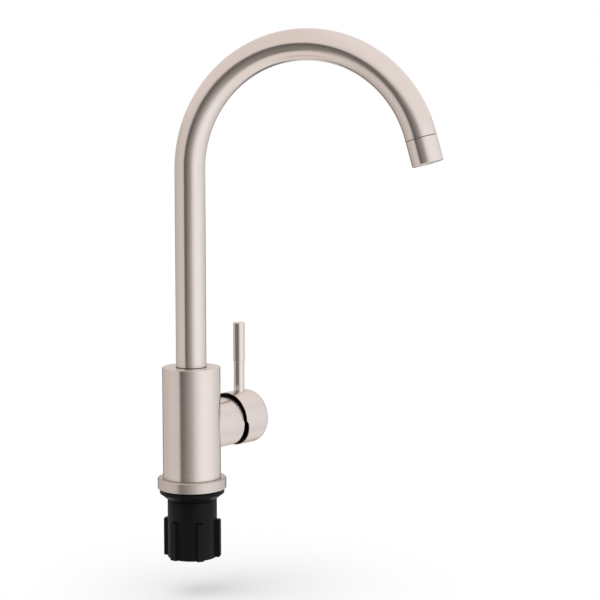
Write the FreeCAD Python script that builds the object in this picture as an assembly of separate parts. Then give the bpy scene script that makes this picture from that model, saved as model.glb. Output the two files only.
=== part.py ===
"""Single-lever kitchen faucet: gooseneck spout, round body, side handle with a pin lever, nut below the deck.

Millimetres. The origin is on the body's axis at the deck, where the base ring's rim rests. +Z is up, +X
points along the handle, and -Y is the front. The spout stands turned from the front towards the handle.
"""
import FreeCAD, Part
import math
import os

V = FreeCAD.Vector

# Spout: tube, bend and tip
TUBE_DIAMETER = 25.0
TUBE_WALL = 1.25
BEND_RADIUS = 98.4
BEND_SWEEP = 164.0
BEND_HEIGHT = 263.2
TIP_STRAIGHT = 2.6
SPOUT_TURN = 21.0
TUBE_SINK = 3.0
TUBE_CLEARANCE = 0.6
SEAM_CHAMFER = 0.3

# Swivel of the spout in the body
TAIL_DIAMETER = 23.0
TAIL_BORE = 14.0
TAIL_PLUG_LENGTH = 14.0
TAIL_FLANGE_THICKNESS = 2.0
TAIL_FLANGE_INSET = 0.3
SLIP_RING_THICKNESS = 1.5
O_RING_SECTION = 2.5
O_RING_GROOVE_WIDTH = 3.0
O_RING_END_DISTANCE = 2.5
SCREW_GROOVE_DEPTH = 1.6
SOCKET_END_ROOM = 2.0
SOCKET_FLOOR_WALL = 2.2

# Spout end
COLLAR_LENGTH = 20.3
COLLAR_PLUG_LENGTH = 6.0
COLLAR_PLUG_WALL = 1.4
COLLAR_END_CHAMFER = 0.5
INSERT_DIAMETER = 20.4
INSERT_LENGTH = 11.0
INSERT_RECESS = 0.8
INSERT_WALL = 1.2
INSERT_PLATE = 2.0
INSERT_HOLE_DIAMETER = 1.9
INSERT_HOLE_PITCH = 2.7
INSERT_HOLE_RINGS = 3
INSERT_HOLES_PER_RING = 6
SCREEN_THICKNESS = 0.5
AERATOR_WASHER_THICKNESS = 1.6
AERATOR_WASHER_WIDTH = 2.2

# Body, base ring and shank
BODY_DIAMETER = 48.0
BODY_HEIGHT = 100.8
BODY_EDGE = 0.3
BODY_FOOT_EDGE = 0.5
SPIGOT_GAP = 0.5
BASE_RING_DIAMETER = 57.0
BASE_RING_BAND = 7.5
BASE_RING_HEIGHT = 8.4
BASE_RING_FILLET = 1.0
BASE_RIM_WIDTH = 1.3
GASKET_RECESS = 1.5
GASKET_PROUD = 0.8
GASKET_SHANK_GAP = 3.65
RING_SEAL_SECTION = 1.6
SPIGOT_WALL = 4.5
SHANK_WALL = 4.0
SHANK_BELOW_DECK = 54.0
SHANK_IN_BODY = 18.0
SHANK_CHAMFER = 1.0
INLET_DIAMETER = 9.0
INLET_DEPTH = 11.0
INLET_SPACING = 13.0
PORT_DIAMETER = 6.0
OUTLET_DIAMETER = 7.0
DRILL_STEP = 1.0

# Side stub and handle
HANDLE_DROP = 0.8
HANDLE_HEIGHT = BODY_HEIGHT / 2 - HANDLE_DROP
STUB_REACH = 43.0
STUB_WALL = 1.65
STUB_EDGE = 0.5
HUB_GAP = 0.5
HUB_OVERSIZE = 2.35
HUB_RISE = 1.2
HUB_LIP = 0.5
HUB_BORE_DEPTH = 3.2
HUB_LENGTH = 28.9
HUB_FILLET = 4.5
HUB_LOWER_CUT = 2.4
HUB_CUT_LEAN = 14.0
HUB_JOG_HEIGHT = 5.0
HUB_JOG_DROP = 0.5
LEVER_FROM_HUB_EDGE = 15.0
LEVER_LOWER_DIAMETER = 9.0
LEVER_UPPER_DIAMETER = 9.8
LEVER_LOWER_LENGTH = 25.05
LEVER_UPPER_LENGTH = 33.8
LEVER_STEP_CHAMFER = 0.4
LEVER_TOP_CHAMFER = 0.6
LEVER_THREAD_DIAMETER = 8.0
LEVER_THREAD_LENGTH = 11.0
LEVER_SPOT_DEPTH = 0.8
LEVER_TILT = 22.0
STEM_SOCKET_DEPTH = 11.0

# Ceramic cartridge, stacked from its seat in the body outwards
CARTRIDGE_DIAMETER = 35.0
CARTRIDGE_NUT_STEP = 1.4
CARTRIDGE_NUT_THICKNESS = 5.0
CARTRIDGE_NUT_BORE = 25.0
CARTRIDGE_NUT_NOTCH = 3.0
HOUSING_LENGTH = 25.0
HOUSING_WALL = 2.0
HOUSING_LIP = 2.2
CARTRIDGE_BASE_THICKNESS = 5.0
DISC_POCKET = 2.0
FIXED_DISC_DIAMETER = 28.0
FIXED_DISC_THICKNESS = 3.5
MOVING_DISC_DIAMETER = 22.0
MOVING_DISC_THICKNESS = 2.6
MIXING_POCKET_DEPTH = 1.2
MIXING_POCKET_DIAMETER = 11.0
CARRIER_THICKNESS = 4.15
TONGUE_HEIGHT = 2.6
TONGUE_WIDTH = 12.0
TONGUE_LENGTH = 18.0
BALL_MOUTH_LENGTH = 9.0
ROTOR_DIAMETER = 27.0
ROTOR_NECK_DIAMETER = 20.4
ROTOR_NECK_PROUD = 0.5
PIVOT_DEPTH = 9.0
PIVOT_PIN_DIAMETER = 4.0
PIVOT_PIN_LENGTH = 23.0
STEM_WIDTH = 7.0
STEM_HEEL = 4.0
STEM_BALL_DIAMETER = 4.8
STEM_BALL_ARM = 8.2
STEM_NECK_DIAMETER = 3.4
PORT_DROP = 5.5
PORT_RISE = 7.0
PORT_SEAL_SECTION = 1.8
DOME_WALL = 1.2
DOME_OPENING = 28.0
DOME_INSET = 0.2

# Set screws
SET_SCREW_DIAMETER = 5.0
SET_SCREW_TIP = 4.0
SET_SCREW_TIP_LENGTH = 3.0
SET_SCREW_INSET = 0.8
SET_SCREW_KEY = 2.5
SET_SCREW_KEY_DEPTH = 3.0
HUB_SCREW_LENGTH = 10.0

# Clamp below the deck
CLAMP_RIM_INSET = 0.4
CLAMP_RIM_HEIGHT = 3.2
CLAMP_CONE_HEIGHT = 5.0
CLAMP_EDGE = 0.5
NUT_NECK_WALL = 4.0
NUT_NECK_HEIGHT = 16.9
NUT_GRIP_HEIGHT = 31.7
NUT_RIB_COUNT = 6
NUT_RIB_WIDTH = 7.2
NUT_RIB_DEPTH = 3.5
NUT_RIB_ROUNDING = 1.0
NUT_RIB_TURN = 0.6
NUT_THREAD_LENGTH = 21.7
NUT_RELIEF_STEP = 1.6

# Clearances, and how far a cut runs past the face it starts from
THREAD_FIT = 0.05
RUNNING_FIT = 0.05
MOVING_GAP = 0.3
DISC_FILM = 0.05
CUT_OVERRUN = 1.0

UP = V(0, 0, 1)
OUT = V(1, 0, 0)
BACK = V(0, 1, 0)
DECK = V(0, 0, 0)
HANDLE = V(0, 0, HANDLE_HEIGHT)
HUB = V(0, 0, HANDLE_HEIGHT + HUB_RISE)
AHEAD = V(math.sin(math.radians(SPOUT_TURN)), -math.cos(math.radians(SPOUT_TURN)), 0)

# Radii and places that several pieces share
tube_r = TUBE_DIAMETER / 2
tube_bore_r = tube_r - TUBE_WALL
tail_r = TAIL_DIAMETER / 2
tube_bottom = BODY_HEIGHT - TUBE_SINK
flange_bottom = tube_bottom - TAIL_FLANGE_THICKNESS
counterbore_floor = flange_bottom - SLIP_RING_THICKNESS - MOVING_GAP
cartridge_r = CARTRIDGE_DIAMETER / 2
socket_floor = HANDLE_HEIGHT + cartridge_r + THREAD_FIT + SOCKET_FLOOR_WALL
tail_bottom = socket_floor + SOCKET_END_ROOM
o_ring_heights = (tail_bottom + O_RING_END_DISTANCE, counterbore_floor - O_RING_END_DISTANCE)
spout_screw_height = sum(o_ring_heights) / 2
counterbore_r = tube_r + TUBE_CLEARANCE
body_r = BODY_DIAMETER / 2
ring_r = BASE_RING_DIAMETER / 2
rim_r = ring_r - BASE_RIM_WIDTH
spigot_r = ring_r - BASE_RING_BAND
spigot_bottom = GASKET_RECESS + SPIGOT_GAP
shank_r = spigot_r - SPIGOT_WALL
shank_top = spigot_bottom + SHANK_IN_BODY
seal_height = (spigot_bottom + BASE_RING_HEIGHT) / 2
nut_thread_r = cartridge_r + CARTRIDGE_NUT_STEP
stub_r = nut_thread_r + THREAD_FIT + STUB_WALL
housing_top = STUB_REACH - CARTRIDGE_NUT_THICKNESS
housing_bottom = housing_top - HOUSING_LENGTH
seat_x = housing_bottom - CARTRIDGE_BASE_THICKNESS
pivot_x = housing_top - PIVOT_DEPTH
ball_x = pivot_x - STEM_BALL_ARM
fixed_disc_x = housing_bottom - DISC_POCKET
moving_disc_x = fixed_disc_x + FIXED_DISC_THICKNESS + DISC_FILM
carrier_x = moving_disc_x + MOVING_DISC_THICKNESS
carrier_top = carrier_x + CARRIER_THICKNESS
rotor_bottom = carrier_top + MOVING_GAP
rotor_top = housing_top - HOUSING_LIP - MOVING_GAP
hub_r = stub_r + HUB_OVERSIZE
hub_bore_r = hub_r - HUB_LIP
hub_crown = HUB.z + hub_r
hub_edge = STUB_REACH + HUB_GAP
hub_end = hub_edge + HUB_LENGTH
dome_r = math.hypot(STUB_REACH - pivot_x, stub_r - DOME_INSET)
hub_floor = pivot_x + dome_r + MOVING_GAP
stem_end = hub_floor + STEM_SOCKET_DEPTH
lever_x = hub_edge + LEVER_FROM_HUB_EDGE
lever_foot = hub_crown - LEVER_SPOT_DEPTH
stem_half = STEM_WIDTH / 2
screw_r = SET_SCREW_DIAMETER / 2
clamp_top = -GASKET_PROUD - MOVING_GAP
clamp_bottom = clamp_top - CLAMP_RIM_HEIGHT - CLAMP_CONE_HEIGHT
nut_top = clamp_bottom - MOVING_GAP
nut_grip_top = nut_top - NUT_NECK_HEIGHT
nut_bottom = nut_grip_top - NUT_GRIP_HEIGHT
nut_r = shank_r + NUT_NECK_WALL
insert_r = INSERT_DIAMETER / 2
insert_bottom = COLLAR_LENGTH - INSERT_RECESS
insert_top = insert_bottom - INSERT_LENGTH
washer_top = insert_top - SCREEN_THICKNESS - AERATOR_WASHER_THICKNESS
ball_pocket_r = STEM_BALL_DIAMETER / 2 + MOVING_GAP
hub_screw_x = (hub_floor + stem_end) / 2


def rod(base, axis, start, end, radius):
    """Cylinder along an axis, between two distances from a base point."""
    return Part.makeCylinder(radius, end - start, base + axis * start, axis)


def sleeve(base, axis, start, end, outer, inner):
    """Hollow cylinder along an axis."""
    hollow = rod(base, axis, start - CUT_OVERRUN, end + CUT_OVERRUN, inner)
    return rod(base, axis, start, end, outer).cut(hollow)


def turned(base, axis, points):
    """Solid of revolution: the points are (distance along the axis, radius), going round the section."""
    across = axis.cross(UP if abs(axis.z) < abs(axis.x) else BACK).normalize()
    corners = [base + axis * along + across * radius for along, radius in points]
    section = Part.Face(Part.makePolygon(corners + corners[:1]))
    solid = section.revolve(base, axis, 360)
    if solid.Volume < 0:
        solid.reverse()
    return solid


def ring_torus(base, axis, along, radius, section):
    """O-ring whose section is centred on a circle round an axis."""
    return Part.makeTorus(radius, section / 2, base + axis * along, axis)


def block(x_span, y_half, z_half):
    """Box along the handle's axis, centred on it across."""
    corner = HANDLE + V(x_span[0], -y_half, -z_half)
    return Part.makeBox(x_span[1] - x_span[0], 2 * y_half, 2 * z_half, corner)


def hexagon_key(base, axis, depth):
    """Hexagon socket of a set screw, cut along an axis from a base point."""
    across = UP if abs(axis.z) < 0.5 else OUT
    beside = axis.cross(across)
    corner_r = SET_SCREW_KEY / math.sqrt(3)
    corners = []
    for step in range(6):
        angle = math.radians(60 * step)
        corners.append(base + across * (corner_r * math.cos(angle)) + beside * (corner_r * math.sin(angle)))
    return Part.Face(Part.makePolygon(corners + corners[:1])).extrude(axis * depth)


def round_edges(shape, radius, chosen):
    """Fillet the edges of a shape that a test picks."""
    return shape.makeFillet(radius, [edge for edge in shape.Edges if chosen(edge)])


def is_circle(edge, radius):
    """True for a circular edge of a given radius."""
    return hasattr(edge.Curve, "Radius") and abs(edge.Curve.Radius - radius) < 1e-6


def port_places():
    """Hot, cold and outlet ports of the cartridge: (sideways, height) about the handle's axis."""
    return [(-INLET_SPACING / 2, -PORT_DROP), (INLET_SPACING / 2, -PORT_DROP), (0, PORT_RISE)]


def port_diameter(index):
    """The outlet, last of the three ports, is wider than the inlets."""
    return OUTLET_DIAMETER if index == 2 else PORT_DIAMETER


def valve_body():
    """Body cylinder with a spigot for the base ring, and the side stub that takes the cartridge."""
    barrel = turned(DECK, UP, [
        (spigot_bottom, 0), (spigot_bottom, spigot_r), (BASE_RING_HEIGHT, spigot_r),
        (BASE_RING_HEIGHT, body_r - BODY_FOOT_EDGE), (BASE_RING_HEIGHT + BODY_FOOT_EDGE, body_r),
        (BODY_HEIGHT - BODY_EDGE, body_r), (BODY_HEIGHT, body_r - BODY_EDGE), (BODY_HEIGHT, 0)])
    stub = turned(HANDLE, OUT, [
        (0, 0), (0, stub_r), (STUB_REACH - STUB_EDGE, stub_r), (STUB_REACH, stub_r - STUB_EDGE),
        (STUB_REACH, 0)])
    body = barrel.fuse(stub)
    cuts = [
        rod(DECK, UP, socket_floor, BODY_HEIGHT + CUT_OVERRUN, tail_r + RUNNING_FIT),
        rod(DECK, UP, counterbore_floor, BODY_HEIGHT + CUT_OVERRUN, counterbore_r),
        rod(HANDLE, OUT, seat_x, STUB_REACH + CUT_OVERRUN, cartridge_r + THREAD_FIT),
        rod(HANDLE, OUT, housing_top - CARTRIDGE_NUT_STEP, STUB_REACH + CUT_OVERRUN,
            nut_thread_r + THREAD_FIT),
        rod(DECK, UP, spigot_bottom - CUT_OVERRUN, shank_top, shank_r + THREAD_FIT),
        rod(V(0, 0, spout_screw_height), BACK, 0, body_r + CUT_OVERRUN, screw_r + THREAD_FIT),
        ring_seal_groove()]
    for index, (sideways, height) in enumerate(port_places()):
        port_r = port_diameter(index) / 2
        drill_r = port_r - DRILL_STEP / 2
        centre = V(0, sideways, HANDLE_HEIGHT + height)
        foot = V(0, sideways, 0)
        cuts.append(rod(centre, OUT, -port_r, seat_x + CUT_OVERRUN, port_r))
        if index < 2:
            cuts.append(rod(foot, UP, shank_top - CUT_OVERRUN, shank_top + INLET_DEPTH, INLET_DIAMETER / 2))
            cuts.append(rod(foot, UP, shank_top, centre.z, drill_r))
        else:
            cuts.append(rod(foot, UP, centre.z, socket_floor + CUT_OVERRUN, drill_r))
    return body.cut(cuts)


def ring_seal_groove():
    """Groove for the O-ring on the body's spigot, half way up the base ring."""
    half = RING_SEAL_SECTION / 2
    return sleeve(DECK, UP, seal_height - half, seal_height + half, spigot_r + CUT_OVERRUN,
                  spigot_r - RING_SEAL_SECTION)


def base_ring():
    """Wider ring at the body's foot, with a rim that rests on the deck and a recess for the gasket."""
    bore_r = spigot_r + THREAD_FIT
    ring = turned(DECK, UP, [
        (0, rim_r), (0, ring_r), (BASE_RING_HEIGHT, ring_r), (BASE_RING_HEIGHT, bore_r),
        (GASKET_RECESS, bore_r), (GASKET_RECESS, rim_r)])
    return round_edges(ring, BASE_RING_FILLET,
                       lambda edge: is_circle(edge, ring_r) and edge.CenterOfMass.z > BASE_RING_HEIGHT / 2)


def base_gasket():
    """Flat rubber ring that fills the recess and stands a little proud of the rim."""
    return sleeve(DECK, UP, -GASKET_PROUD, GASKET_RECESS, rim_r - THREAD_FIT, shank_r + GASKET_SHANK_GAP)


def base_ring_seal():
    """O-ring between the spigot and the base ring."""
    return ring_torus(DECK, UP, seal_height, spigot_r - RING_SEAL_SECTION / 2, RING_SEAL_SECTION)


def threaded_shank():
    """Hollow shank screwed up into the body, with the hose passage inside."""
    bore_r = shank_r - SHANK_WALL
    edge_r = shank_r - SHANK_CHAMFER
    bottom = -SHANK_BELOW_DECK
    return turned(DECK, UP, [
        (bottom, bore_r), (bottom, edge_r), (bottom + SHANK_CHAMFER, shank_r),
        (shank_top - SHANK_CHAMFER, shank_r), (shank_top, edge_r), (shank_top, bore_r)])


def bend_centre():
    """Middle of the spout's bend."""
    return AHEAD * BEND_RADIUS + UP * BEND_HEIGHT


def spout_end():
    """Point and direction in which the bend ends."""
    turn = FreeCAD.Rotation(UP.cross(AHEAD), BEND_SWEEP)
    return bend_centre() + turn.multVec(AHEAD * -BEND_RADIUS), turn.multVec(UP)


def spout_tube():
    """Gooseneck tube: a straight riser, one round bend and a short straight tip."""
    end, along = spout_end()
    circles = [Part.Wire(Part.makeCircle(radius, UP * BEND_HEIGHT, UP)) for radius in (tube_r, tube_bore_r)]
    bend = Part.Face(circles).revolve(bend_centre(), UP.cross(AHEAD), BEND_SWEEP)
    if bend.Volume < 0:
        bend.reverse()
    riser = sleeve(DECK, UP, tube_bottom, BEND_HEIGHT, tube_r, tube_bore_r)
    tip = turned(end, along, [
        (0, tube_bore_r), (0, tube_r), (TIP_STRAIGHT - SEAM_CHAMFER, tube_r),
        (TIP_STRAIGHT, tube_r - SEAM_CHAMFER), (TIP_STRAIGHT, tube_bore_r)])
    return riser.fuse([bend, tip]).removeSplitter()


def spout_tail():
    """Turned insert pressed into the tube, whose lower end swivels in the body's socket."""
    bore_r = TAIL_BORE / 2
    flange_r = tube_r - TAIL_FLANGE_INSET
    plug_r = tube_bore_r - THREAD_FIT
    tail = turned(DECK, UP, [
        (tail_bottom, bore_r), (tail_bottom, tail_r), (flange_bottom, tail_r), (flange_bottom, flange_r),
        (tube_bottom, flange_r), (tube_bottom, plug_r), (tube_bottom + TAIL_PLUG_LENGTH, plug_r),
        (tube_bottom + TAIL_PLUG_LENGTH, bore_r)])
    half = O_RING_GROOVE_WIDTH / 2
    grooves = [sleeve(DECK, UP, height - half, height + half, tail_r + CUT_OVERRUN, tail_r - O_RING_SECTION)
               for height in o_ring_heights]
    screw_half = SET_SCREW_TIP / 2 + MOVING_GAP
    grooves.append(sleeve(DECK, UP, spout_screw_height - screw_half, spout_screw_height + screw_half,
                          tail_r + CUT_OVERRUN, tail_r - SCREW_GROOVE_DEPTH))
    return tail.cut(grooves)


def spout_o_rings():
    """Two O-rings of the swivel."""
    return Part.makeCompound([ring_torus(DECK, UP, height, tail_r - O_RING_SECTION / 2, O_RING_SECTION)
                              for height in o_ring_heights])


def spout_slip_ring():
    """Plastic ring in the body's counterbore that the spout turns on."""
    return sleeve(DECK, UP, counterbore_floor, counterbore_floor + SLIP_RING_THICKNESS,
                  counterbore_r - THREAD_FIT, tail_r + MOVING_GAP)


def spout_set_screw():
    """Set screw in the body's back, whose tip runs in the tail's groove and keeps the spout in."""
    base = V(0, 0, spout_screw_height)
    tip_end = tail_r - SCREW_GROOVE_DEPTH + MOVING_GAP
    head = body_r - SET_SCREW_INSET
    screw = rod(base, BACK, tip_end, tip_end + SET_SCREW_TIP_LENGTH, SET_SCREW_TIP / 2)
    screw = screw.fuse(rod(base, BACK, tip_end + SET_SCREW_TIP_LENGTH, head, screw_r))
    return screw.cut(hexagon_key(base + BACK * head, BACK * -1, SET_SCREW_KEY_DEPTH))


def tip_frame():
    """Seam between tube and collar, and the direction in which the water leaves."""
    end, along = spout_end()
    return end + along * TIP_STRAIGHT, along


def aerator_collar():
    """Sleeve flush with the tube, plugged into its end, with a pocket for the aerator."""
    seam, along = tip_frame()
    plug_r = tube_bore_r - THREAD_FIT
    pocket_r = insert_r + THREAD_FIT
    return turned(seam, along, [
        (-COLLAR_PLUG_LENGTH, plug_r - COLLAR_PLUG_WALL), (-COLLAR_PLUG_LENGTH, plug_r), (0, plug_r),
        (0, tube_r - SEAM_CHAMFER), (SEAM_CHAMFER, tube_r), (COLLAR_LENGTH - COLLAR_END_CHAMFER, tube_r),
        (COLLAR_LENGTH, tube_r - COLLAR_END_CHAMFER), (COLLAR_LENGTH, pocket_r), (washer_top, pocket_r),
        (washer_top, plug_r - COLLAR_PLUG_WALL)])


def aerator_washer():
    """Rubber ring between the collar's shoulder and the aerator."""
    seam, along = tip_frame()
    return sleeve(seam, along, washer_top, washer_top + AERATOR_WASHER_THICKNESS, insert_r,
                  insert_r - AERATOR_WASHER_WIDTH)


def aerator_screen():
    """Fine disc of wire gauze on top of the aerator."""
    seam, along = tip_frame()
    return rod(seam, along, insert_top - SCREEN_THICKNESS, insert_top, insert_r)


def aerator_insert():
    """Plastic cup whose outlet plate has rings of round holes."""
    seam, along = tip_frame()
    cup = rod(seam, along, insert_top, insert_bottom, insert_r)
    cup = cup.cut(rod(seam, along, insert_top, insert_bottom - INSERT_PLATE, insert_r - INSERT_WALL))
    across = UP.cross(AHEAD)
    beside = along.cross(across)
    holes = []
    for ring in range(INSERT_HOLE_RINGS + 1):
        count = max(1, INSERT_HOLES_PER_RING * ring)
        for step in range(count):
            angle = 2 * math.pi * step / count
            offset = across * (math.cos(angle) * ring) + beside * (math.sin(angle) * ring)
            centre = seam + offset * INSERT_HOLE_PITCH
            holes.append(rod(centre, along, insert_bottom - INSERT_PLATE - CUT_OVERRUN,
                             insert_bottom + CUT_OVERRUN, INSERT_HOLE_DIAMETER / 2))
    return cup.cut(holes)


def cartridge_base():
    """Lower plate of the cartridge with its three ports, seal grooves and the pocket for the fixed disc."""
    plate = rod(HANDLE, OUT, seat_x, housing_bottom, cartridge_r - THREAD_FIT)
    pocket_r = FIXED_DISC_DIAMETER / 2 + THREAD_FIT
    cuts = [rod(HANDLE, OUT, fixed_disc_x, housing_bottom + CUT_OVERRUN, pocket_r)]
    for index, (sideways, height) in enumerate(port_places()):
        centre = HANDLE + V(0, sideways, height)
        port_r = port_diameter(index) / 2
        cuts.append(rod(centre, OUT, seat_x - CUT_OVERRUN, housing_bottom, port_r))
        cuts.append(sleeve(centre, OUT, seat_x - CUT_OVERRUN, seat_x + PORT_SEAL_SECTION,
                           port_r + PORT_SEAL_SECTION, port_r))
    return plate.cut(cuts)


def cartridge_seals():
    """Three O-rings round the ports, between the cartridge and its seat."""
    rings = []
    for index, (sideways, height) in enumerate(port_places()):
        centre = HANDLE + V(0, sideways, height)
        middle_r = port_diameter(index) / 2 + PORT_SEAL_SECTION / 2
        rings.append(ring_torus(centre, OUT, seat_x + PORT_SEAL_SECTION / 2, middle_r, PORT_SEAL_SECTION))
    return Part.makeCompound(rings)


def fixed_disc():
    """Ceramic disc with the three ports, held in the base."""
    disc = rod(HANDLE, OUT, fixed_disc_x, fixed_disc_x + FIXED_DISC_THICKNESS, FIXED_DISC_DIAMETER / 2)
    ports = []
    for index, (sideways, height) in enumerate(port_places()):
        centre = HANDLE + V(0, sideways, height)
        ports.append(rod(centre, OUT, fixed_disc_x - CUT_OVERRUN, moving_disc_x + CUT_OVERRUN,
                         port_diameter(index) / 2))
    return disc.cut(ports)


def moving_disc():
    """Ceramic disc that slides and turns on the fixed one, with a mixing pocket in its face."""
    disc = rod(HANDLE, OUT, moving_disc_x, carrier_x, MOVING_DISC_DIAMETER / 2)
    pocket = rod(HANDLE + V(0, 0, PORT_RISE / 2), OUT, moving_disc_x - CUT_OVERRUN,
                 moving_disc_x + MIXING_POCKET_DEPTH, MIXING_POCKET_DIAMETER / 2)
    return disc.cut(pocket)


def disc_carrier():
    """Slider on the moving disc: a tongue that the rotor guides, and a pocket for the stem's ball."""
    tongue_top = carrier_top + TONGUE_HEIGHT
    carrier = rod(HANDLE, OUT, carrier_x, carrier_top, MOVING_DISC_DIAMETER / 2)
    carrier = carrier.fuse(block((carrier_top, tongue_top), TONGUE_WIDTH / 2, TONGUE_LENGTH / 2))
    pocket = rod(HANDLE, OUT, ball_x - ball_pocket_r, tongue_top + CUT_OVERRUN, ball_pocket_r)
    mouth = block((ball_x + STEM_NECK_DIAMETER / 2, tongue_top + CUT_OVERRUN), ball_pocket_r,
                  BALL_MOUTH_LENGTH / 2)
    return carrier.cut([pocket, mouth])


def cartridge_housing():
    """Plastic cup of the cartridge, with a chamber for the discs, a bore for the rotor and a lip over it."""
    bore_r = ROTOR_DIAMETER / 2 + RUNNING_FIT
    outer_r = cartridge_r - THREAD_FIT
    lip_r = ROTOR_NECK_DIAMETER / 2 + MOVING_GAP
    lip_x = housing_top - HOUSING_LIP
    return turned(HANDLE, OUT, [
        (housing_bottom, outer_r - HOUSING_WALL), (housing_bottom, outer_r), (housing_top, outer_r),
        (housing_top, lip_r), (lip_x, lip_r), (lip_x, bore_r), (rotor_bottom, bore_r),
        (rotor_bottom, outer_r - HOUSING_WALL)])


def stem_slot(start, end, clearance):
    """Slot in which the stem tilts both ways about its pin."""
    reach = max(end - pivot_x, pivot_x - start)
    tilt = math.radians(LEVER_TILT)
    z_half = reach * math.tan(tilt) + stem_half / math.cos(tilt) + clearance
    return block((start - CUT_OVERRUN, end + CUT_OVERRUN), stem_half + clearance, z_half)


def cartridge_rotor():
    """Turning part of the cartridge: the pivot pin's hole, the stem's slot and the groove for the carrier."""
    neck_top = housing_top + ROTOR_NECK_PROUD
    rotor = rod(HANDLE, OUT, rotor_bottom, rotor_top, ROTOR_DIAMETER / 2)
    rotor = rotor.fuse(rod(HANDLE, OUT, rotor_top, neck_top, ROTOR_NECK_DIAMETER / 2))
    groove_top = carrier_top + TONGUE_HEIGHT + MOVING_GAP
    cuts = [
        block((rotor_bottom - CUT_OVERRUN, groove_top), TONGUE_WIDTH / 2 + MOVING_GAP, ROTOR_DIAMETER),
        stem_slot(groove_top, neck_top, MOVING_GAP),
        rod(V(pivot_x, 0, HANDLE_HEIGHT), BACK, -ROTOR_DIAMETER, ROTOR_DIAMETER,
            PIVOT_PIN_DIAMETER / 2 + THREAD_FIT / 2)]
    return rotor.cut(cuts)


def pivot_pin():
    """Steel pin across the rotor, on which the stem tilts."""
    return rod(V(pivot_x, 0, HANDLE_HEIGHT), BACK, -PIVOT_PIN_LENGTH / 2, PIVOT_PIN_LENGTH / 2,
               PIVOT_PIN_DIAMETER / 2)


def cartridge_stem():
    """Square stem with a ball below its pivot, and the end that the hub is screwed on."""
    stem = block((pivot_x - STEM_HEEL, stem_end), stem_half, stem_half)
    stem = stem.fuse(rod(HANDLE, OUT, ball_x, pivot_x - STEM_HEEL, STEM_NECK_DIAMETER / 2))
    stem = stem.fuse(Part.makeSphere(STEM_BALL_DIAMETER / 2, HANDLE + OUT * ball_x))
    return stem.cut(rod(V(pivot_x, 0, HANDLE_HEIGHT), BACK, -STEM_WIDTH, STEM_WIDTH,
                        PIVOT_PIN_DIAMETER / 2 + RUNNING_FIT))


def cartridge_nut():
    """Ring nut that presses the cartridge on its seat, with four notches for a spanner."""
    bore_r = CARTRIDGE_NUT_BORE / 2
    nut = sleeve(HANDLE, OUT, housing_top, STUB_REACH, nut_thread_r, bore_r)
    notches = []
    for turn in (0, 90):
        notch = block((housing_top + CARTRIDGE_NUT_THICKNESS / 2, STUB_REACH + CUT_OVERRUN),
                      CARTRIDGE_NUT_NOTCH / 2, bore_r + CARTRIDGE_NUT_NOTCH)
        notch.rotate(HANDLE, OUT, turn)
        notches.append(notch)
    return nut.cut(notches)


def ball_about_pivot(radius):
    """Ball about the point on which the stem tilts."""
    return Part.makeSphere(radius, HANDLE + OUT * pivot_x)


def dome_cover():
    """Round cover over the cartridge nut, part of a ball about the pivot that the hub swings clear of."""
    shell = ball_about_pivot(dome_r).cut(ball_about_pivot(dome_r - DOME_WALL))
    shell = shell.common(rod(HANDLE, OUT, STUB_REACH, hub_end, stub_r))
    return shell.cut(rod(HANDLE, OUT, 0, hub_end, DOME_OPENING / 2))


def hub_lower_cut():
    """What is cut from the hub's lower half at its edge: a smooth jog at mid height, then a leaning plane."""
    depth = hub_edge + HUB_LOWER_CUT
    high = HUB.z - HUB_JOG_DROP + HUB_JOG_HEIGHT / 2
    low = HUB.z - HUB_JOG_DROP - HUB_JOG_HEIGHT / 2
    middle = (high + low) / 2
    aside = -2 * hub_r
    start = V(hub_edge, aside, high)
    end = V(depth, aside, low)
    jog = Part.BezierCurve()
    jog.setPoles([start, V(hub_edge, aside, middle), V(depth, aside, middle), end])
    below = HUB.z - 2 * hub_r
    outside = hub_edge - 2 * HUB_LOWER_CUT
    deepest = depth + math.tan(math.radians(HUB_CUT_LEAN)) * (low - below)
    corners = [end, V(deepest, aside, below), V(outside, aside, below), V(outside, aside, high), start]
    lines = [Part.makeLine(a, b) for a, b in zip(corners, corners[1:])]
    return Part.Face(Part.Wire([jog.toShape()] + lines)).extrude(BACK * (-2 * aside))


def handle_hub():
    """Round hub on the stem: hollow at its edge, cut back below, with holes for the lever and set screw."""
    hub = rod(HUB, OUT, hub_edge, hub_end, hub_r)
    hub = round_edges(hub, HUB_FILLET, lambda edge: is_circle(edge, hub_r) and edge.CenterOfMass.x > stem_end)
    lever_base = V(lever_x, 0, 0)
    cuts = [
        rod(HUB, OUT, hub_edge - CUT_OVERRUN, hub_edge + HUB_BORE_DEPTH, hub_bore_r),
        ball_about_pivot(dome_r + MOVING_GAP),
        hub_lower_cut(),
        block((hub_floor - CUT_OVERRUN, stem_end), stem_half + THREAD_FIT, stem_half + THREAD_FIT),
        rod(lever_base, UP, lever_foot, hub_crown + CUT_OVERRUN, LEVER_LOWER_DIAMETER / 2 + THREAD_FIT),
        rod(lever_base, UP, lever_foot - LEVER_THREAD_LENGTH - MOVING_GAP, hub_crown,
            LEVER_THREAD_DIAMETER / 2 + THREAD_FIT),
        rod(V(hub_screw_x, 0, 0), UP, HANDLE_HEIGHT - hub_r - CUT_OVERRUN, HANDLE_HEIGHT,
            screw_r + THREAD_FIT)]
    return hub.cut(cuts)


def hub_set_screw():
    """Set screw from below that holds the hub on the stem."""
    base = V(hub_screw_x, 0, 0)
    tip = HANDLE_HEIGHT - stem_half
    screw = rod(base, UP, tip - HUB_SCREW_LENGTH, tip, screw_r)
    return screw.cut(hexagon_key(base + UP * (tip - HUB_SCREW_LENGTH), UP, SET_SCREW_KEY_DEPTH))


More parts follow.
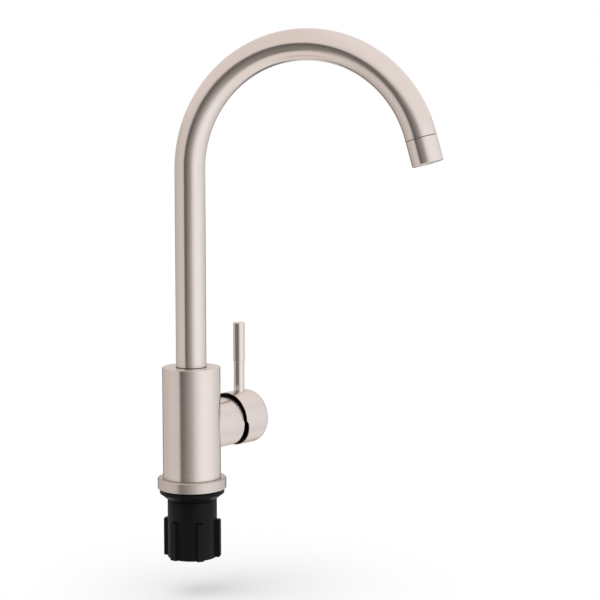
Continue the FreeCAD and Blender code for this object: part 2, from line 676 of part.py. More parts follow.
def lever_rod():
    """Pin lever turned from one rod: thread in the hub, a thinner lower half and a thicker grip."""
    thread_r = LEVER_THREAD_DIAMETER / 2
    lower_r = LEVER_LOWER_DIAMETER / 2
    upper_r = LEVER_UPPER_DIAMETER / 2
    step = hub_crown + LEVER_LOWER_LENGTH
    top = step + LEVER_UPPER_LENGTH
    start = lever_foot - LEVER_THREAD_LENGTH
    return turned(V(lever_x, 0, 0), UP, [
        (start, 0), (start, thread_r), (lever_foot, thread_r), (lever_foot, lower_r), (step, lower_r),
        (step + LEVER_STEP_CHAMFER, upper_r), (top - LEVER_TOP_CHAMFER, upper_r),
        (top, upper_r - LEVER_TOP_CHAMFER), (top, 0)])


def clamp_washer():
    """Conical plastic washer that presses on the deck from below."""
    bore_r = shank_r + MOVING_GAP
    outer = rim_r - CLAMP_RIM_INSET
    return turned(DECK, UP, [
        (clamp_top, bore_r), (clamp_top, outer - CLAMP_EDGE), (clamp_top - CLAMP_EDGE, outer),
        (clamp_top - CLAMP_RIM_HEIGHT, outer), (clamp_bottom, nut_r), (clamp_bottom, bore_r)])


def mounting_nut():
    """Long plastic nut: a plain neck, and a grip with ribs rounded at their edges."""
    rib_r = nut_r + NUT_RIB_DEPTH
    barrel = rod(DECK, UP, nut_bottom, nut_top, nut_r)
    envelope = rod(DECK, UP, nut_bottom, nut_grip_top, rib_r)
    envelope = round_edges(envelope, NUT_RIB_ROUNDING, lambda edge: is_circle(edge, rib_r))
    half = NUT_RIB_WIDTH / 2
    rib = Part.makeBox(2 * rib_r, NUT_RIB_WIDTH, NUT_GRIP_HEIGHT, V(nut_r / 2, -half, nut_bottom))
    ribs = []
    for count in range(NUT_RIB_COUNT):
        turn = NUT_RIB_TURN + 360.0 / NUT_RIB_COUNT * count
        ribs.append(rib.copy().rotate(DECK, UP, turn).common(envelope))
    nut = barrel.fuse(ribs).removeSplitter()
    thread_bottom = nut_top - NUT_THREAD_LENGTH
    return nut.cut([
        rod(DECK, UP, nut_bottom - CUT_OVERRUN, nut_top + CUT_OVERRUN, shank_r + RUNNING_FIT),
        rod(DECK, UP, nut_bottom - CUT_OVERRUN, thread_bottom, shank_r + NUT_RELIEF_STEP)])


PIECES = [
    valve_body, base_ring, base_ring_seal, base_gasket, threaded_shank, spout_tube, spout_tail, spout_o_rings,
    spout_slip_ring, spout_set_screw, aerator_collar, aerator_washer, aerator_screen, aerator_insert,
    cartridge_base, cartridge_seals, fixed_disc, moving_disc, disc_carrier, cartridge_housing,
    cartridge_rotor, pivot_pin, cartridge_stem, cartridge_nut, dome_cover, handle_hub, hub_set_screw,
    lever_rod, clamp_washer, mounting_nut]

os.makedirs("parts", exist_ok=True)
for make in PIECES:
    shape = make()
    shape.exportStep("parts/" + make.__name__ + ".step")
    print(make.__name__, len(shape.Solids), "solids", round(shape.Volume, 1), "mm3, valid", shape.isValid())
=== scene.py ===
import math

import bmesh
import bpy
import numpy as np
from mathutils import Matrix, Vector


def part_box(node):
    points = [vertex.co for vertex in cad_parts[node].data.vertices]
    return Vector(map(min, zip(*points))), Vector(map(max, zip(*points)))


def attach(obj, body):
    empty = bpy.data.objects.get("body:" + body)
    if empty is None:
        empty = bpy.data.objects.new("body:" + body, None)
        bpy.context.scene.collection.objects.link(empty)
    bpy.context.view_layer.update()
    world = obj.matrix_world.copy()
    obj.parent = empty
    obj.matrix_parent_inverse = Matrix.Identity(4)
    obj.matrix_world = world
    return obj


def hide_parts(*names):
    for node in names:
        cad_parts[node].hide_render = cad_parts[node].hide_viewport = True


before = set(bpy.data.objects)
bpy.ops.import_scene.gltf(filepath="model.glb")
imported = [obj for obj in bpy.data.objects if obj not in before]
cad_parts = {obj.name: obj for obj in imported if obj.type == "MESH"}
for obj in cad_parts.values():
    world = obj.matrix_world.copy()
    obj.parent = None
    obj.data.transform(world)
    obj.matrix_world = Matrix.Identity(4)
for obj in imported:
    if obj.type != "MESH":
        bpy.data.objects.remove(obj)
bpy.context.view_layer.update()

# Valve body: a round barrel and a shorter round stub for the cartridge, welded from stainless steel.
# It is turned and then brushed on the lathe, so that fine lines run round the barrel and round the stub,
# and a lamp shows on it as upright bands with soft ends.
MM = 0.001
body_low, body_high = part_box("valve_body")
BARREL_RADIUS = -body_low.x
WELD_ROOM = 0.06 * MM
STUB_CENTRE = (0, 0, 49.6 * MM)
UPRIGHT = (0, 0, 1)
SIDEWAYS = (1, 0, 0)
LEVEL = (1, 1, 0)
BRUSH_LINE = 0.25 * MM
BRUSH_RUN = 45.0 * MM
BRUSH_DEPTH = 0.02 * MM
BRUSH_RELIEF = 0.04
BRUSH_ANISOTROPY = 0.6
BRUSH_SPREAD = 0.03
NOISE_LOW = 0.3
NOISE_HIGH = 0.7
STEEL_SHADES = ("#E6DCD7", "#EFE7E3")
# Painted shade: the dark colour painted on steel in recesses and narrow gaps, where shade falls.
STEEL_PAINTED_SHADE = "#141312"
MIX_COLOUR_A = 6
MIX_COLOUR_B = 7
MIX_COLOUR_OUT = 2
MIX_VECTOR_A = 4
MIX_VECTOR_B = 5
MIX_VECTOR_OUT = 1


def linear(hex_colour):
    """The linear colour, with alpha, of an sRGB hex value: each channel is undone by the sRGB curve."""
    channels = np.array([int(hex_colour[i:i + 2], 16) for i in (1, 3, 5)]) / 255.0
    low = channels / 12.92
    high = ((channels + 0.055) / 1.055) ** 2.4
    return (*np.where(channels <= 0.04045, low, high), 1.0)


def add(tree, kind, settings):
    """Add a node. A setting is one of its properties, or a socket's value, or the socket linked to it."""
    node = tree.nodes.new(kind)
    sockets = {}
    for key, value in settings.items():
        if isinstance(key, str) and key not in node.inputs:
            setattr(node, key, value)
        else:
            sockets[key] = value
    for key, value in sockets.items():
        if isinstance(value, bpy.types.NodeSocket):
            tree.links.new(value, node.inputs[key])
        else:
            node.inputs[key].default_value = value
    return node


def new_material(name):
    """A new material and its node tree, emptied."""
    material = bpy.data.materials.new(name)
    material.use_nodes = True
    material.node_tree.nodes.clear()
    return material, material.node_tree


def close(tree, shader):
    """Add a material's output to its tree and link the shader to it."""
    add(tree, "ShaderNodeOutputMaterial", {"Surface": shader.outputs[0]})


def brushed_stainless(name, stretched, tangent_of, roughness, painted_shade=None, shades=STEEL_SHADES):
    """Brushed stainless steel: the lines are noise stretched round the piece, drawn coarser than the real
    0.05 mm so that they show, and the gloss is spread across them. Where a mask is given, its recesses and
    narrow gaps are painted dark as painted shade."""
    material, tree = new_material(name)
    lines = add(tree, "ShaderNodeTexNoise", {
        "Vector": stretched(tree), "Scale": 1.0, "Detail": 3.0, "Roughness": 0.6})
    shade = add(tree, "ShaderNodeMix", {
        "data_type": "RGBA", 0: lines.outputs["Fac"],
        MIX_COLOUR_A: linear(shades[0]), MIX_COLOUR_B: linear(shades[1])})
    gloss = add(tree, "ShaderNodeMapRange", {
        "Value": lines.outputs["Fac"], "From Min": NOISE_LOW, "From Max": NOISE_HIGH,
        "To Min": roughness - BRUSH_SPREAD, "To Max": roughness + BRUSH_SPREAD})
    relief = add(tree, "ShaderNodeBump", {
        "Height": lines.outputs["Fac"], "Strength": BRUSH_RELIEF, "Distance": BRUSH_DEPTH})
    # Painted shade: where the mask is 1, the steel's colour is painted dark to stand in for shade.
    if painted_shade:
        shade = add(tree, "ShaderNodeMix", {
            "data_type": "RGBA", 0: painted_shade(tree),
            MIX_COLOUR_A: shade.outputs[MIX_COLOUR_OUT], MIX_COLOUR_B: linear(STEEL_PAINTED_SHADE)})
    close(tree, add(tree, "ShaderNodeBsdfPrincipled", {
        "Base Color": shade.outputs[MIX_COLOUR_OUT], "Metallic": 1.0, "Roughness": gloss.outputs[0],
        "Anisotropic": BRUSH_ANISOTROPY, "Tangent": tangent_of(tree), "Normal": relief.outputs[0]}))
    return material


def from_axis(tree, axis, centre):
    """A point's place along a turning axis through the centre, and its way out from that axis."""
    place = add(tree, "ShaderNodeTexCoord", {}).outputs["Object"]
    off = add(tree, "ShaderNodeVectorMath", {"operation": "SUBTRACT", 0: place, 1: centre})
    along = add(tree, "ShaderNodeVectorMath", {"operation": "MULTIPLY", 0: off.outputs[0], 1: axis})
    out = add(tree, "ShaderNodeVectorMath", {
        "operation": "SUBTRACT", 0: off.outputs[0], 1: along.outputs[0]})
    return along.outputs[0], out.outputs[0]


def lines_round(axis, centre=(0, 0, 0)):
    """Coordinates for lines that run round the axis on a turned side, and in rings on a turned end: the
    place along the axis and the distance from it are added up and pressed, and the rest is drawn out."""
    def stretched(tree):
        along, out = from_axis(tree, axis, centre)
        reach = add(tree, "ShaderNodeVectorMath", {"operation": "LENGTH", 0: out})
        ringed = add(tree, "ShaderNodeVectorMath", {
            "operation": "SCALE", 0: axis, "Scale": reach.outputs["Value"]})
        pressed = add(tree, "ShaderNodeVectorMath", {"operation": "ADD", 0: along, 1: ringed.outputs[0]})
        drawn = add(tree, "ShaderNodeVectorMath", {
            "operation": "SCALE", 0: out, "Scale": BRUSH_LINE / BRUSH_RUN})
        both = add(tree, "ShaderNodeVectorMath", {
            "operation": "ADD", 0: pressed.outputs[0], 1: drawn.outputs[0]})
        return add(tree, "ShaderNodeVectorMath", {
            "operation": "SCALE", 0: both.outputs[0], "Scale": 1 / BRUSH_LINE}).outputs[0]
    return stretched


def gloss_across(axis, centre=(0, 0, 0)):
    """The direction square to those lines, turned with the piece: along the axis on a side, and straight
    out from it on an end. It is the sum of both, and the surface keeps the part that lies in it."""
    def tangent(tree):
        out = from_axis(tree, axis, centre)[1]
        outward = add(tree, "ShaderNodeVectorMath", {"operation": "NORMALIZE", 0: out})
        both = add(tree, "ShaderNodeVectorMath", {"operation": "ADD", 0: axis, 1: outward.outputs[0]})
        return add(tree, "ShaderNodeVectorTransform", {
            "vector_type": "VECTOR", "convert_from": "OBJECT", "convert_to": "WORLD",
            "Vector": both.outputs[0]}).outputs[0]
    return tangent


def on_stub(tree):
    """1 outside the barrel's radius, which is on the stub, and 0 on the barrel."""
    place = add(tree, "ShaderNodeTexCoord", {}).outputs["Object"]
    level = add(tree, "ShaderNodeVectorMath", {"operation": "MULTIPLY", 0: place, 1: LEVEL})
    reach = add(tree, "ShaderNodeVectorMath", {"operation": "LENGTH", 0: level.outputs[0]})
    return add(tree, "ShaderNodeMath", {
        "operation": "GREATER_THAN", 0: reach.outputs["Value"], 1: BARREL_RADIUS + WELD_ROOM}).outputs[0]


def either(on_barrel, on_the_stub):
    """A vector that is one on the barrel and another on the stub."""
    def chosen(tree):
        return add(tree, "ShaderNodeMix", {
            "data_type": "VECTOR", 0: on_stub(tree),
            MIX_VECTOR_A: on_barrel(tree), MIX_VECTOR_B: on_the_stub(tree)}).outputs[MIX_VECTOR_OUT]
    return chosen


def dress(node, material):
    """Give a solid of the frame its material."""
    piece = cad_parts[node]
    piece.data.materials.clear()
    piece.data.materials.append(material)


body_steel = brushed_stainless(
    "brushed_stainless_steel_body", either(lines_round(UPRIGHT), lines_round(SIDEWAYS, STUB_CENTRE)),
    either(gloss_across(UPRIGHT), gloss_across(SIDEWAYS, STUB_CENTRE)), roughness=0.25)
dress("valve_body", body_steel)

# Base ring: a turned and brushed ring of the same steel, a little duller, pushed over the body's spigot.
# Its colours are painted a little darker than the body's, as painted shade.
# It covers the hole in the deck, and its own seal and a flat gasket keep water out below it. Both are
# moulded from black rubber, which is matt.
RING_PAINTED_SHADE_TONES = ("#D6CCC7", "#DFD7D3")
RUBBER = "#17171A"
RUBBER_GRAIN = 0.8 * MM
MOULD_DEPTH = 0.1 * MM
MOULD_SPREAD = 0.05

ring_steel = brushed_stainless(
    "brushed_stainless_steel_ring", lines_round(UPRIGHT), gloss_across(UPRIGHT), roughness=0.36,
    shades=RING_PAINTED_SHADE_TONES)
dress("base_ring", ring_steel)


def moulded(name, colour, grain, roughness, relief, shine):
    """Moulded plastic or rubber: one colour, with a fine grain from the mould in its gloss and relief."""
    material, tree = new_material(name)
    place = add(tree, "ShaderNodeTexCoord", {}).outputs["Object"]
    spots = add(tree, "ShaderNodeTexNoise", {"Vector": place, "Scale": 1 / grain, "Detail": 2.0})
    gloss = add(tree, "ShaderNodeMapRange", {
        "Value": spots.outputs["Fac"], "From Min": NOISE_LOW, "From Max": NOISE_HIGH,
        "To Min": roughness - MOULD_SPREAD, "To Max": roughness + MOULD_SPREAD})
    bump = add(tree, "ShaderNodeBump", {
        "Height": spots.outputs["Fac"], "Strength": relief, "Distance": MOULD_DEPTH})
    close(tree, add(tree, "ShaderNodeBsdfPrincipled", {
        "Base Color": linear(colour), "Roughness": gloss.outputs[0], "Specular IOR Level": shine,
        "Normal": bump.outputs[0]}))
    return material


rubber = moulded("moulded_black_rubber", RUBBER, RUBBER_GRAIN, roughness=0.62, relief=0.15, shine=0.3)
for node in ("base_ring_seal", "base_gasket"):
    dress(node, rubber)

# Threaded shank: a hollow brass pipe screwed up into the body, with a turned thread all along it.
# The hoses pass through it, and the nut below the deck turns on its thread. Brass from the lathe is yellow,
# with a fine grain in its gloss.
shank_low, shank_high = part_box("threaded_shank")
SHANK_RADIUS = -shank_low.x
SHANK_BOTTOM = shank_low.z
SHANK_TOP = shank_high.z
SHANK_WALL = 4.0 * MM
SHANK_CHAMFER = 1.0 * MM
THREAD_PITCH = 3.0 * MM
THREAD_DEPTH = 1.1 * MM
THREAD_FLAT = 0.25
THREAD_EDGE = 50.0
ROWS_A_PITCH = 12
SHANK_SIDES = 96
SAME_PLACE = 0.0001 * MM
BRASS = "#C9A45C"
TOOL_GRAIN = 0.35 * MM
TOOL_SPREAD = 0.07


def cells(grid):
    """The four corners of each cell of a grid, in the order in which they go round it."""
    return np.stack([grid[:-1, :-1], grid[:-1, 1:], grid[1:, 1:], grid[1:, :-1]], axis=2)


def skin(name, grid, edge_degrees):
    """A mesh from a grid of points, rows along the piece and columns round it, which both close on
    themselves. Its map, in metres, runs along the rows and round them. An edge that bends by more than
    the given degrees stays sharp."""
    rows, columns = grid.shape[:2]
    index = np.pad(np.arange(rows * columns).reshape(rows, columns), ((0, 1), (0, 1)), mode="wrap")
    mesh = bpy.data.meshes.new(name)
    mesh.from_pydata(grid.reshape(-1, 3), [], cells(index).reshape(-1, 4))
    closed = np.pad(grid, ((0, 1), (0, 1), (0, 0)), mode="wrap")
    along = np.linalg.norm(np.diff(closed[:, :-1], axis=0), axis=2).mean(axis=1)
    along = np.concatenate([[0.0], np.cumsum(along)])
    around = np.linalg.norm(np.diff(closed, axis=1), axis=2).mean(axis=0)
    around = np.concatenate([[0.0], np.cumsum(around)])
    place = np.stack(np.meshgrid(along, around, indexing="ij"), axis=-1)
    mesh.uv_layers.new(name="run").data.foreach_set("uv", cells(place).reshape(-1))
    work = bmesh.new()
    work.from_mesh(mesh)
    bmesh.ops.remove_doubles(work, verts=work.verts, dist=SAME_PLACE)
    bmesh.ops.recalc_face_normals(work, faces=work.faces)
    work.to_mesh(mesh)
    work.free()
    mesh.polygons.foreach_set("use_smooth", np.ones(len(mesh.polygons), dtype=bool))
    mesh.set_sharp_from_angle(angle=math.radians(edge_degrees))
    piece = bpy.data.objects.new(name, mesh)
    bpy.context.scene.collection.objects.link(piece)
    return piece


def stand_for(piece, node, body, material):
    """Let a new piece stand for a solid of the frame, with its body, material and material slot."""
    piece.data.materials.append(material)
    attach(piece, body)
    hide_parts(node)


def rings(height, radius, angle):
    """Closed rows about the Z axis: the point at height h and angle t is (r cos t, r sin t, h), where each
    height and angle has its own radius r."""
    tall = np.broadcast_to(height[:, None], radius.shape)
    return np.stack([radius * np.cos(angle), radius * np.sin(angle), tall], axis=-1)


def threaded_pipe():
    """Radius r = crest - depth times a triangle wave of (height / pitch - angle / turn) with its points cut
    flat, held in by the chamfers at both ends, and then the plain bore going back down."""
    count = round((SHANK_TOP - SHANK_BOTTOM) / THREAD_PITCH * ROWS_A_PITCH)
    height = np.linspace(SHANK_BOTTOM, SHANK_TOP, count)
    turn = np.arange(SHANK_SIDES) / SHANK_SIDES
    phase = (height[:, None] / THREAD_PITCH - turn) % 1.0
    wave = np.abs(2 * phase - 1) * (1 + 2 * THREAD_FLAT) - THREAD_FLAT
    crest = SHANK_RADIUS - THREAD_DEPTH * np.clip(wave, 0, 1)
    end = np.minimum(height - SHANK_BOTTOM, SHANK_TOP - height)
    crest = np.minimum(crest, (SHANK_RADIUS - SHANK_CHAMFER + np.minimum(end, SHANK_CHAMFER))[:, None])
    bore = np.full((2, SHANK_SIDES), SHANK_RADIUS - SHANK_WALL)
    return rings(np.append(height, [SHANK_TOP, SHANK_BOTTOM]), np.vstack([crest, bore]), 2 * math.pi * turn)


def machined_metal(name, colour, roughness):
    """Machined metal: the marks of the tool are a fine even grain, which breaks up its gloss. It is drawn
    coarser than the real marks so that it shows."""
    material, tree = new_material(name)
    place = add(tree, "ShaderNodeTexCoord", {}).outputs["Object"]
    marks = add(tree, "ShaderNodeTexNoise", {"Vector": place, "Scale": 1 / TOOL_GRAIN, "Detail": 2.0})
    gloss = add(tree, "ShaderNodeMapRange", {
        "Value": marks.outputs["Fac"], "From Min": NOISE_LOW, "From Max": NOISE_HIGH,
        "To Min": roughness - TOOL_SPREAD, "To Max": roughness + TOOL_SPREAD})
    close(tree, add(tree, "ShaderNodeBsdfPrincipled", {
        "Base Color": linear(colour), "Metallic": 1.0, "Roughness": gloss.outputs[0]}))
    return material


brass = machined_metal("machined_brass", BRASS, roughness=0.28)
stand_for(skin("shank_thread", threaded_pipe(), THREAD_EDGE), "threaded_shank", "body", brass)

# Clamp washer: a thick conical washer of black nylon below the deck, moulded in one piece and half matt.
# The nut carries it up the shank and presses it against the deck's underside.
NYLON = "#0D0D0E"
NYLON_GRAIN = 0.6 * MM

nylon = moulded("moulded_black_nylon", NYLON, NYLON_GRAIN, roughness=0.4, relief=0.12, shine=0.14)
dress("clamp_washer", nylon)

# Mounting nut: a long nut of black nylon with a plain neck and six broad ribs to grip, all edges soft.
# It is moulded with its thread, which runs on the shank, and is wider inside below the thread.
nut_low, nut_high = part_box("mounting_nut")
NUT_TOP = nut_high.z
NUT_BOTTOM = nut_low.z
GRIP_TOP = -26.5 * MM
RIB_RADIUS = nut_high.x
RIB_DEPTH = 3.5 * MM
NUT_RADIUS = RIB_RADIUS - RIB_DEPTH
RIB_WIDTH = 7.2 * MM
RIB_SIDE = 0.9 * MM
RIB_ROUNDING = 1.2 * MM
RIB_COUNT = 6
RIB_TURN = math.radians(0.6)
THREAD_PLAY = 0.05 * MM
RELIEF_DEPTH = 1.6 * MM
NUT_BORE = SHANK_RADIUS + THREAD_PLAY
NUT_RELIEF = SHANK_RADIUS + RELIEF_DEPTH
NUT_THREAD_BOTTOM = -31.3 * MM
NUT_CHAMFER = 0.5 * MM
NUT_EDGE = 45.0
ARC_STEPS = 7
PLAIN_STEPS = 10
SIDE_STEPS = 14


def ribbed_nut():
    """Radius r = neck + reach times a rib wave, where the wave is 1 across a rib, 0 between ribs and goes
    from one to the other by a smooth step. The reach grows along quarter circles at the grip's two ends."""
    inner = math.asin((RIB_WIDTH / 2 - RIB_SIDE) / RIB_RADIUS)
    outer = math.asin((RIB_WIDTH / 2) / RIB_RADIUS)
    half_gap = math.pi / RIB_COUNT
    flank = np.concatenate([
        np.linspace(0, inner, PLAIN_STEPS, endpoint=False),
        np.linspace(inner, outer, SIDE_STEPS, endpoint=False),
        np.linspace(outer, half_gap, PLAIN_STEPS, endpoint=False)])
    sector = np.concatenate([-np.append(flank, half_gap)[:0:-1], flank])
    step = np.clip((outer - np.abs(sector)) / (outer - inner), 0, 1)
    wave = np.tile(step * step * (3 - 2 * step), RIB_COUNT)
    starts = 2 * math.pi / RIB_COUNT * np.arange(RIB_COUNT) + RIB_TURN
    angle = (starts[:, None] + sector).reshape(-1)
    turn = np.linspace(0, math.pi / 2, ARC_STEPS)
    reach = RIB_DEPTH - RIB_ROUNDING + RIB_ROUNDING * np.sin(turn)
    drop = RIB_ROUNDING * (1 - np.cos(turn))
    neck_height = [NUT_TOP, NUT_TOP - NUT_CHAMFER, GRIP_TOP]
    neck = [NUT_RADIUS - NUT_CHAMFER, NUT_RADIUS, NUT_RADIUS]
    inside_height = [NUT_BOTTOM, NUT_THREAD_BOTTOM, NUT_THREAD_BOTTOM, NUT_TOP]
    inside = [NUT_RELIEF, NUT_RELIEF, NUT_BORE, NUT_BORE]
    height = np.concatenate([neck_height, GRIP_TOP - drop, (NUT_BOTTOM + drop)[::-1], inside_height])
    plain = np.concatenate([neck, np.full(2 * ARC_STEPS, NUT_RADIUS), inside])
    grip = np.concatenate([np.zeros(len(neck)), reach, reach[::-1], np.zeros(len(inside))])
    return rings(height, plain[:, None] + grip[:, None] * wave, angle)


stand_for(skin("nut_ribbed", ribbed_nut(), NUT_EDGE), "mounting_nut", "nut", nylon)

# Spout tube: a stainless steel tube bent to a gooseneck over a mandrel and brushed round before and after.
# It is pressed on a turned tail that swivels in the body. Dark lines at its foot and at its other end
# are painted shade for the narrow gaps there; at the other end a small chamfered groove is also shaped.
tube_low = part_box("spout_tube")[0]
TUBE_RADIUS = -tube_low.x
TUBE_BOTTOM = tube_low.z
TUBE_WALL = 1.25 * MM
BEND_HEIGHT = 263.2 * MM
BEND_RADIUS = 98.4 * MM
BEND_SWEEP = math.radians(164.0)
TIP_STRAIGHT = 2.6 * MM
SEAM_CHAMFER = 0.3 * MM
SEAM_HALF = 0.25 * MM
SEAM_REACH = 2 * TUBE_RADIUS
FOOT_SHADE_LINE = 0.45 * MM
SPOUT_TURN = math.radians(21.0)
BEND_STEPS = 160
TUBE_SIDES = 96
TUBE_EDGE = 35.0
AHEAD = np.array([math.sin(SPOUT_TURN), -math.cos(SPOUT_TURN), 0.0])
UP = np.array([0.0, 0.0, 1.0])
ACROSS = np.cross(UP, AHEAD)


def carried(centre, direction, radius, sides):
    """A circle carried along a path in the spout's plane: at each row it stands square to the direction,
    and the point at angle t is centre + r (cos t beside + sin t across)."""
    angle = np.linspace(0, 2 * math.pi, sides, endpoint=False)
    beside = np.cross(direction, ACROSS)
    ring = np.cos(angle)[:, None] * beside[:, None] + np.sin(angle)[:, None] * ACROSS
    return centre[:, None] + radius[:, None, None] * ring


def gooseneck():
    """Up the riser, round the bend, where the point at angle s is bend centre + R (sin s up - cos s ahead),
    and along the short tip. The same path with the bore's radius leads back inside."""
    sweep = np.linspace(0, BEND_SWEEP, BEND_STEPS)
    bend = UP * BEND_HEIGHT + AHEAD * BEND_RADIUS
    arc = bend + BEND_RADIUS * (np.sin(sweep)[:, None] * UP - np.cos(sweep)[:, None] * AHEAD)
    tilt = np.cos(sweep)[:, None] * UP + np.sin(sweep)[:, None] * AHEAD
    tip = arc[-1] + tilt[-1] * np.array([[TIP_STRAIGHT - SEAM_CHAMFER], [TIP_STRAIGHT]])
    centre = np.vstack([UP * TUBE_BOTTOM, arc, tip])
    direction = np.vstack([UP, tilt, tilt[-1:], tilt[-1:]])
    radius = np.full(len(centre), TUBE_RADIUS)
    radius[-1] -= SEAM_CHAMFER
    inside = np.full(len(centre), TUBE_RADIUS - TUBE_WALL)
    there_and_back = np.vstack([centre, centre[::-1]])
    directions = np.vstack([direction, direction[::-1]])
    grid = carried(there_and_back, directions, np.concatenate([radius, inside]), TUBE_SIDES)
    return grid, tip[-1], tilt[-1]


def mapped_lines(tree):
    """The piece's own map, pressed along the tube, so that a noise on it becomes lines round the tube."""
    place = add(tree, "ShaderNodeUVMap", {"uv_map": "run"}).outputs[0]
    return add(tree, "ShaderNodeVectorMath", {
        "operation": "MULTIPLY", 0: place, 1: (1 / BRUSH_LINE, 1 / BRUSH_RUN, 0)}).outputs[0]


def mapped_gloss(tree):
    """The direction along the tube, from the piece's own map."""
    return add(tree, "ShaderNodeTangent", {"direction_type": "UV_MAP", "uv_map": "run"}).outputs[0]


tube_grid, tip_place, tip_direction = gooseneck()


def painted_gap_shade(tree):
    """1 in the seam, which is within its half width of the plane of the tube's end and near that end, and 1
    in the line round the tube's foot, just above the body's top. Elsewhere 0. Where it is 1, the steel is
    painted dark as painted shade."""
    place = add(tree, "ShaderNodeTexCoord", {}).outputs["Object"]
    off = add(tree, "ShaderNodeVectorMath", {"operation": "SUBTRACT", 0: place, 1: tip_place})
    along = add(tree, "ShaderNodeVectorMath", {
        "operation": "DOT_PRODUCT", 0: off.outputs[0], 1: tip_direction})
    apart = add(tree, "ShaderNodeMath", {"operation": "ABSOLUTE", 0: along.outputs["Value"]})
    thin = add(tree, "ShaderNodeMath", {"operation": "LESS_THAN", 0: apart.outputs[0], 1: SEAM_HALF})
    reach = add(tree, "ShaderNodeVectorMath", {"operation": "LENGTH", 0: off.outputs[0]})
    near = add(tree, "ShaderNodeMath", {
        "operation": "LESS_THAN", 0: reach.outputs["Value"], 1: SEAM_REACH})
    seam = add(tree, "ShaderNodeMath", {"operation": "MULTIPLY", 0: thin.outputs[0], 1: near.outputs[0]})
    height = add(tree, "ShaderNodeSeparateXYZ", {0: place}).outputs["Z"]
    foot = add(tree, "ShaderNodeMath", {"operation": "LESS_THAN", 0: height, 1: body_high.z + FOOT_SHADE_LINE})
    return add(tree, "ShaderNodeMath", {
        "operation": "MAXIMUM", 0: seam.outputs[0], 1: foot.outputs[0]}).outputs[0]


# The tube's steel, with painted shade in the lines at its two gaps.
tube_steel = brushed_stainless(
    "brushed_stainless_steel_tube", mapped_lines, mapped_gloss, roughness=0.23, painted_shade=painted_gap_shade)
stand_for(skin("gooseneck", tube_grid, TUBE_EDGE), "spout_tube", "spout", tube_steel)

# Swivel: a brass tail on the tube's lower end, two O-rings, a slip ring of acetal that carries the spout,
# and a steel set screw in the body's back whose tip runs in the tail's groove and keeps the spout in.
# Acetal from the mould is milky white with a soft gloss, and turned steel is plain grey.
MACHINED = "#B9B6B1"
ACETAL = "#DAD8D0"
ACETAL_GRAIN = 1.2 * MM

machined_steel = machined_metal("machined_steel", MACHINED, roughness=0.3)
acetal = moulded("moulded_acetal", ACETAL, ACETAL_GRAIN, roughness=0.4, relief=0.05, shine=0.5)
dress("spout_tail", brass)
dress("spout_o_rings", rubber)
dress("spout_slip_ring", acetal)
dress("spout_set_screw", machined_steel)

# Aerator: a brushed sleeve flush with the tube and plugged into its end, with a rubber washer, a disc of
# wire gauze and a moulded cup with rings of holes, which the sleeve holds.
COLLAR_LENGTH = 20.3 * MM
COLLAR_PLUG = 6.0 * MM
COLLAR_PLUG_RADIUS = 11.2 * MM
COLLAR_PLUG_BORE = 9.8 * MM
COLLAR_END = 0.5 * MM
COLLAR_POCKET = 10.25 * MM
POCKET_TOP = 6.4 * MM
COLLAR_SIDES = 96
COLLAR_EDGE = 30.0

collar_section = np.array([
    (-COLLAR_PLUG, COLLAR_PLUG_BORE), (-COLLAR_PLUG, COLLAR_PLUG_RADIUS), (0, COLLAR_PLUG_RADIUS),
    (0, TUBE_RADIUS - SEAM_CHAMFER), (SEAM_CHAMFER, TUBE_RADIUS), (COLLAR_LENGTH - COLLAR_END, TUBE_RADIUS),
    (COLLAR_LENGTH, TUBE_RADIUS - COLLAR_END), (COLLAR_LENGTH, COLLAR_POCKET), (POCKET_TOP, COLLAR_POCKET),
    (POCKET_TOP, COLLAR_PLUG_BORE)])
collar_grid = carried(
    tip_place + collar_section[:, :1] * tip_direction, np.tile(tip_direction, (len(collar_section), 1)),
    collar_section[:, 1], COLLAR_SIDES)
collar = skin("aerator_sleeve", collar_grid, COLLAR_EDGE)
stand_for(collar, "aerator_collar", "spout", tube_steel)
dress("aerator_washer", rubber)
dress("aerator_screen", machined_steel)
dress("aerator_insert", acetal)

# Cartridge: two ceramic discs lapped flat and smooth in a cup of acetal, with a rotor, a steel pin and a
# stem that shift the upper disc. A brass ring nut presses it on its seat in the body's stub.
CERAMIC = "#E9E7E2"
CERAMIC_GRAIN = 0.5 * MM

ceramic = moulded("lapped_ceramic", CERAMIC, CERAMIC_GRAIN, roughness=0.15, relief=0.0, shine=0.6)
for node in ("cartridge_base", "cartridge_housing", "cartridge_rotor", "disc_carrier"):
    dress(node, acetal)
for node in ("fixed_disc", "moving_disc"):
    dress(node, ceramic)
for node in ("pivot_pin", "cartridge_stem"):
    dress(node, machined_steel)
dress("cartridge_seals", rubber)
dress("cartridge_nut", brass)

# Dome cover: a thin round cover of glossy black ABS pressed over the cartridge nut.
# It fills the gap between the stub and the handle, and the hub swings past it.
ABS = "#060607"
ABS_GRAIN = 4.0 * MM

gloss_abs = moulded("moulded_gloss_black_abs", ABS, ABS_GRAIN, roughness=0.15, relief=0.0, shine=0.16)
dress("dome_cover", gloss_abs)

# Handle: a round hub turned from stainless steel and brushed round, screwed to the cartridge's stem from
# below, with an upright pin lever turned from one rod, brushed finer, and screwed into the hub.
hub_low, hub_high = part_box("handle_hub")
lever_low, lever_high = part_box("lever_rod")
HUB_CENTRE = (0, 0, (hub_low.z + hub_high.z) / 2)
LEVER_FOOT = ((lever_low.x + lever_high.x) / 2, 0, 0)
HUB_BORE = 22.5 * MM
HUB_SOLID = 67.0 * MM


